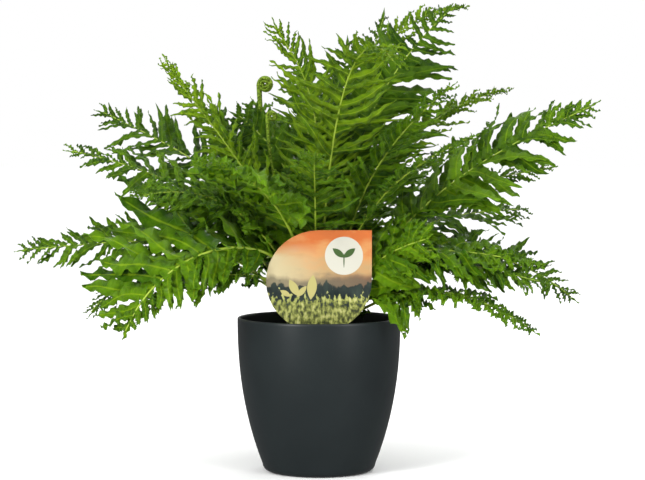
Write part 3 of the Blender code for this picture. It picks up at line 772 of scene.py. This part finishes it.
def leaf_material(name, deep, light, vein, roughness):
    """Green leaf skin: a tone for each lobe, mottling, a pale midrib with slanting side veins, a soft gloss."""
    made, nodes, links, shader = new_material(name)
    shader.inputs["Specular IOR Level"].default_value = 0.36
    leaf = nodes.new("ShaderNodeUVMap")
    leaf.uv_map = "leaf"
    split = nodes.new("ShaderNodeSeparateXYZ")
    links.new(leaf.outputs["UV"], split.inputs["Vector"])
    centred = math_node(nodes, links, "SUBTRACT", split.outputs["Y"], 0.5)
    off_midrib = math_node(nodes, links, "ABSOLUTE", centred)
    tone = nodes.new("ShaderNodeAttribute")
    tone.attribute_name = "tone"
    mottle = noise(nodes, links, 130.0, 5.0).outputs["Fac"]
    blend = math_node(nodes, links, "MULTIPLY_ADD", tone.outputs["Fac"], 0.45, mottle)
    body = ramp(nodes, links, blend, (0.42, deep), (0.98, light))
    midrib = mapped(nodes, links, off_midrib, 0.75, 0.0, 0.025, 0.075)
    slant = math_node(nodes, links, "MULTIPLY_ADD", off_midrib, -2.2, split.outputs["X"])
    side_veins = math_node(nodes, links, "SINE", math_node(nodes, links, "MULTIPLY", slant, 150.0))
    faint = mapped(nodes, links, side_veins, 0.0, 0.22, 0.55, 1.0)
    veined = nodes.new("ShaderNodeMix")
    veined.data_type = "RGBA"
    veined.inputs["B"].default_value = (*vein, 1.0)
    links.new(math_node(nodes, links, "MAXIMUM", midrib, faint), veined.inputs["Factor"])
    links.new(body, veined.inputs["A"])
    links.new(veined.outputs["Result"], shader.inputs["Base Color"])
    links.new(mapped(nodes, links, mottle, roughness - 0.12, roughness + 0.10), shader.inputs["Roughness"])
    height = math_node(nodes, links, "MULTIPLY_ADD", side_veins, 0.35, mottle)
    raise_skin(nodes, links, shader, height, 0.75, 0.0014)
    glow = nodes.new("ShaderNodeBsdfTranslucent")
    links.new(veined.outputs["Result"], glow.inputs["Color"])
    through = nodes.new("ShaderNodeMixShader")
    through.inputs["Fac"].default_value = 0.28
    links.new(shader.outputs["BSDF"], through.inputs[1])
    links.new(glow.outputs["BSDF"], through.inputs[2])
    links.new(through.outputs["Shader"], nodes["Material Output"].inputs["Surface"])
    return made


# deep and light green, vein, roughness
LEAF_COLOURS = {
    "old": ("leaf_mature", (0.040, 0.145, 0.001), (0.200, 0.420, 0.006), (0.340, 0.560, 0.018), 0.40),
    "dark": ("leaf_deep", (0.024, 0.095, 0.001), (0.130, 0.300, 0.006), (0.240, 0.410, 0.016), 0.38),
    "bright": ("leaf_bright", (0.058, 0.205, 0.001), (0.235, 0.490, 0.006), (0.430, 0.660, 0.020), 0.38),
    "young": ("leaf_young", (0.088, 0.240, 0.001), (0.310, 0.540, 0.008), (0.480, 0.680, 0.024), 0.42),
}
leaf_looks = {age: leaf_material(*colours) for age, colours in LEAF_COLOURS.items()}

rib_skin, nodes, links, shader = new_material("rib_skin")
shader.inputs["Roughness"].default_value = 0.45
share = nodes.new("ShaderNodeAttribute")
share.attribute_name = "tone"
rib_tint = ramp(nodes, links, share.outputs["Fac"], (0.0, (0.130, 0.110, 0.020)),
                (0.30, (0.300, 0.420, 0.030)))
links.new(rib_tint, shader.inputs["Base Color"])

FIRST_SEED = 100
node_slots = {row["node"]: row["material_slot"] for row in frame["record"]["subparts"]}
frond_nodes = sorted(n for n in frame["nodes"] if n.startswith("frond_"))
for number, node in enumerate(frond_nodes):
    age = node_slots[node].replace("frond_", "")
    frond = grow_frond(node, age, FIRST_SEED + number)
    frond.data.materials.append(leaf_looks[age])
    frond.data.materials.append(rib_skin)
    finish_piece(frond, frond.name, None, node_slots[node], node)


# ------------------------------------------------------------------ croziers
# Two fronds are still rolled up: a juicy brown-green stalk ends in a tight coil, and the unopened lobes
# show as two rows of small furry beads along the coil's sides.

# node, direction in degrees, foot's share of the crown's radius, reach, height, coil radius, turns, stalk
# radius, seed
CROZIERS = (
    ("crozier_tall", 152.0, 0.00, 0.068, 0.428, 0.0080, 2.0, 0.0032, 5),
    ("crozier_short", 186.0, 0.40, 0.052, 0.392, 0.0052, 1.7, 0.0023, 6),
)
COIL_STEPS = 22
STALK_POINTS = 24

furry, nodes, links, shader = new_material("furry_crozier")
shader.inputs["Roughness"].default_value = 0.75
shader.inputs["Specular IOR Level"].default_value = 0.25
fur = noise(nodes, links, 480.0, 4.0)
fur_tint = ramp(nodes, links, fur.outputs["Fac"], (0.35, (0.060, 0.080, 0.006)),
                (0.50, (0.120, 0.210, 0.008)), (0.72, (0.290, 0.380, 0.040)))
links.new(fur_tint, shader.inputs["Base Color"])
raise_skin(nodes, links, shader, fur.outputs["Fac"], 0.8, 0.0008)


def crozier_line(direction, foot_share, reach, height, coil, turns):
    """Points up the stalk and then round the coil, and the direction across the coil."""
    level = Vector((math.cos(math.radians(direction)), math.sin(math.radians(direction)), 0.0))
    rise = Vector((0.0, 0.0, 1.0))
    foot = level * (foot_share * CROWN_RADIUS) + rise * (crown_high.z - 0.001)
    centre = level * reach + rise * height
    start = centre + level * coil
    pull = 0.40 * (start - foot).length
    points = []
    for k in range(STALK_POINTS):
        t = k / STALK_POINTS
        points.append(foot * (1 - t) ** 3 + (foot + rise * pull) * 3 * t * (1 - t) ** 2
                      + (start - rise * pull) * 3 * t * t * (1 - t) + start * t ** 3)
    for k in range(round(COIL_STEPS * turns) + 1):
        angle = 2.0 * math.pi * k / COIL_STEPS
        radius = coil * (1.0 - 0.74 * k / (COIL_STEPS * turns))
        points.append(centre + level * (radius * math.cos(angle)) + rise * (radius * math.sin(angle)))
    return points, Vector((level.y, -level.x, 0.0))


for node, direction, foot_share, reach, height, coil, turns, tube, seed in CROZIERS:
    points, across = crozier_line(direction, foot_share, reach, height, coil, turns)
    line = bpy.data.curves.new(node, "CURVE")
    line.dimensions = "3D"
    line.bevel_depth = tube
    line.bevel_resolution = 3
    line.use_fill_caps = True
    spline = line.splines.new("POLY")
    spline.points.add(len(points) - 1)
    for k, (spot, place) in enumerate(zip(spline.points, points)):
        spot.co = (*place, 1.0)
        past = max(0, k - STALK_POINTS) / (len(points) - STALK_POINTS)
        spot.radius = (0.42 + 0.58 * min(1.0, k / STALK_POINTS) ** 4) * (1.0 - 0.45 * past)
    stem = bpy.data.objects.new(node, line)
    bpy.context.scene.collection.objects.link(stem)
    nothing_selected()
    stem.select_set(True)
    bpy.context.view_layer.objects.active = stem
    bpy.ops.object.convert(target="MESH")
    stem = bpy.context.object
    bead_random = random.Random(seed)
    beads = []
    for k in range(STALK_POINTS - 4, len(points)):
        for hand in (-1.0, 1.0):
            shrink = 1.0 - 0.35 * max(0, k - STALK_POINTS) / len(points)
            size = tube * bead_random.uniform(0.50, 0.72) * shrink
            place = points[k] + across * (hand * tube * 0.80)
            nothing_selected()
            bpy.ops.mesh.primitive_ico_sphere_add(subdivisions=1, radius=size, location=place)
            bpy.ops.transform.resize(value=(1.0, 1.25, 0.8), center_override=place)
            bpy.ops.object.transform_apply(location=True, rotation=True, scale=True)
            beads.append(bpy.context.object)
    nothing_selected()
    for bead in beads:
        bead.select_set(True)
    stem.select_set(True)
    bpy.context.view_layer.objects.active = stem
    bpy.ops.object.join()
    bpy.ops.object.shade_smooth()
    finish_piece(stem, node.replace("crozier", "rolled_frond"), furry, "crozier", node)


# ------------------------------------------------------------------ tag
# The plant tag is stiff gloss card, die cut to a round shape with one sharp corner, on a spike in the
# soil. It is printed with an evening landscape and four pale leaves, and a plain cream disc with a sprout
# fills its corner.

tag_low, tag_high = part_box("plant_tag")
TAG_TALL = 0.110
TAG_FOOT = tag_high.z - TAG_TALL
TAG_HALF = tag_high.x
TAG_MIDDLE_Y = (tag_low.y + tag_high.y) / 2.0

card, nodes, links, shader = new_material("printed_card")
shader.inputs["Roughness"].default_value = 0.38
shader.inputs["Specular IOR Level"].default_value = 0.35
spot = nodes.new("ShaderNodeSeparateXYZ")
links.new(nodes.new("ShaderNodeTexCoord").outputs["Object"], spot.inputs["Vector"])
from_middle = math_node(nodes, links, "DIVIDE", spot.outputs["X"], TAG_HALF)
over_foot = math_node(nodes, links, "SUBTRACT", spot.outputs["Z"], TAG_FOOT)
from_foot = math_node(nodes, links, "DIVIDE", over_foot, TAG_TALL)


def wash(scale_x, scale_z, detail):
    """Noise over the card's face, stretched by its two scales."""
    spread = nodes.new("ShaderNodeCombineXYZ")
    links.new(math_node(nodes, links, "MULTIPLY", from_middle, scale_x), spread.inputs["X"])
    links.new(math_node(nodes, links, "MULTIPLY", from_foot, scale_z), spread.inputs["Z"])
    made = nodes.new("ShaderNodeTexNoise")
    made.inputs["Scale"].default_value = 1.0
    made.inputs["Detail"].default_value = detail
    links.new(spread.outputs["Vector"], made.inputs["Vector"])
    return made.outputs["Fac"]


def inked(under, over, mask):
    """Prints one colour over another where the mask is one."""
    made = nodes.new("ShaderNodeMix")
    made.data_type = "RGBA"
    for name, value in (("A", under), ("B", over), ("Factor", mask)):
        if isinstance(value, tuple):
            made.inputs[name].default_value = (*value, 1.0)
        else:
            links.new(value, made.inputs[name])
    return made.outputs["Result"]


def below(height, swell, waver, soft):
    """One below a wavering line across the card, zero above it."""
    line = math_node(nodes, links, "MULTIPLY_ADD", waver, swell, height - 0.5 * swell)
    share = math_node(nodes, links, "DIVIDE", math_node(nodes, links, "SUBTRACT", line, from_foot), soft)
    return math_node(nodes, links, "SMOOTH_MIN", 1.0, math_node(nodes, links, "MAXIMUM", 0.0, share), 0.01)


def almond(x, z, tilt, half_wide, half_long):
    """One inside a leaf outline with two pointed ends, zero outside."""
    turn = math.radians(tilt)
    dx = math_node(nodes, links, "SUBTRACT", spot.outputs["X"], x)
    dz = math_node(nodes, links, "SUBTRACT", spot.outputs["Z"], z)
    across = math_node(nodes, links, "MULTIPLY_ADD", dx, math.cos(turn), math_node(
        nodes, links, "MULTIPLY", dz, math.sin(turn)))
    up = math_node(nodes, links, "MULTIPLY_ADD", dz, math.cos(turn), math_node(
        nodes, links, "MULTIPLY", dx, -math.sin(turn)))
    share = math_node(nodes, links, "POWER", math_node(nodes, links, "DIVIDE", up, half_long), 2.0)
    edge = math_node(nodes, links, "MULTIPLY_ADD", share, -half_wide, half_wide)
    return math_node(nodes, links, "LESS_THAN", math_node(nodes, links, "ABSOLUTE", across), edge)


clouds = wash(2.4, 9.0, 6.0)
over_hills = math_node(nodes, links, "SUBTRACT", from_foot, 0.27)
sky_height = math_node(nodes, links, "MULTIPLY_ADD", clouds, 0.55, over_hills)
sky = ramp(nodes, links, sky_height, (0.46, (0.190, 0.150, 0.090)), (0.60, (0.400, 0.265, 0.120)),
           (0.78, (0.520, 0.240, 0.080)), (0.95, (0.480, 0.120, 0.024)))
from_left = math_node(nodes, links, "MULTIPLY_ADD", from_middle, 0.5, 0.5)
left_glow = ramp(nodes, links, from_left, (0.10, (1.0, 1.0, 1.0)), (0.55, (0.0, 0.0, 0.0)))
glow_share = math_node(nodes, links, "MULTIPLY", left_glow, below(0.86, 0.35, clouds, 0.15))
print_face = inked(sky, (0.484, 0.409, 0.236), glow_share)
dusk = math_node(nodes, links, "MULTIPLY", below(0.60, 0.18, wash(2.0, 5.0, 4.0), 0.12),
                 math_node(nodes, links, "MAXIMUM", 0.0, from_middle))
print_face = inked(print_face, (0.170, 0.040, 0.018), dusk)
print_face = inked(print_face, (0.120, 0.100, 0.062), math_node(
    nodes, links, "MULTIPLY", below(0.55, 0.16, wash(3.0, 1.0, 5.0), 0.05), 0.75))
trees = wash(4.5, 4.5, 7.0)
tree_ink = ramp(nodes, links, trees, (0.35, (0.006, 0.012, 0.013)), (0.65, (0.030, 0.045, 0.036)))
print_face = inked(print_face, tree_ink, below(0.47, 0.36, trees, 0.015))
blades = wash(14.0, 17.0, 6.0)
meadow = ramp(nodes, links, blades, (0.38, (0.030, 0.036, 0.012)), (0.47, (0.105, 0.120, 0.026)),
              (0.56, (0.270, 0.290, 0.070)), (0.68, (0.440, 0.430, 0.170)))
print_face = inked(print_face, meadow, below(0.34, 0.55, blades, 0.02))
for x, z, tilt, half_wide, half_long in (
        (-0.0270, 0.2070, 28.0, 0.0044, 0.0100), (-0.0075, 0.2075, -6.0, 0.0052, 0.0135),
        (-0.0360, 0.2010, 60.0, 0.0028, 0.0065), (-0.0185, 0.2030, -42.0, 0.0030, 0.0080)):
    print_face = inked(print_face, (0.384, 0.347, 0.124), almond(x, z, tilt, half_wide, half_long))
BADGE_X, BADGE_Z, BADGE_RADIUS = 0.0270, 0.2415, 0.0205
across_badge = math_node(nodes, links, "SUBTRACT", spot.outputs["X"], BADGE_X)
up_badge = math_node(nodes, links, "SUBTRACT", spot.outputs["Z"], BADGE_Z)
badge_x = math_node(nodes, links, "POWER", across_badge, 2.0)
badge_z = math_node(nodes, links, "POWER", up_badge, 2.0)
badge = math_node(nodes, links, "LESS_THAN", math_node(nodes, links, "ADD", badge_x, badge_z), BADGE_RADIUS ** 2)
print_face = inked(print_face, (0.496, 0.484, 0.409), badge)
for x, z, tilt, half_wide, half_long in (
        (-0.0058, 0.0030, 52.0, 0.0034, 0.0082), (0.0058, 0.0030, -52.0, 0.0034, 0.0082),
        (0.0, -0.0050, 0.0, 0.0007, 0.0085)):
    sprout = almond(BADGE_X + x, BADGE_Z + z, tilt, half_wide, half_long)
    print_face = inked(print_face, (0.046, 0.093, 0.022), sprout)
front = math_node(nodes, links, "LESS_THAN", spot.outputs["Y"], TAG_MIDDLE_Y)
links.new(inked((0.72, 0.70, 0.62), print_face, front), shader.inputs["Base Color"])
raise_skin(nodes, links, shader, wash(60.0, 60.0, 2.0), 0.05, 0.0003)
tag = frame["nodes"]["plant_tag"]
tag.data.materials.clear()
tag.data.materials.append(card)
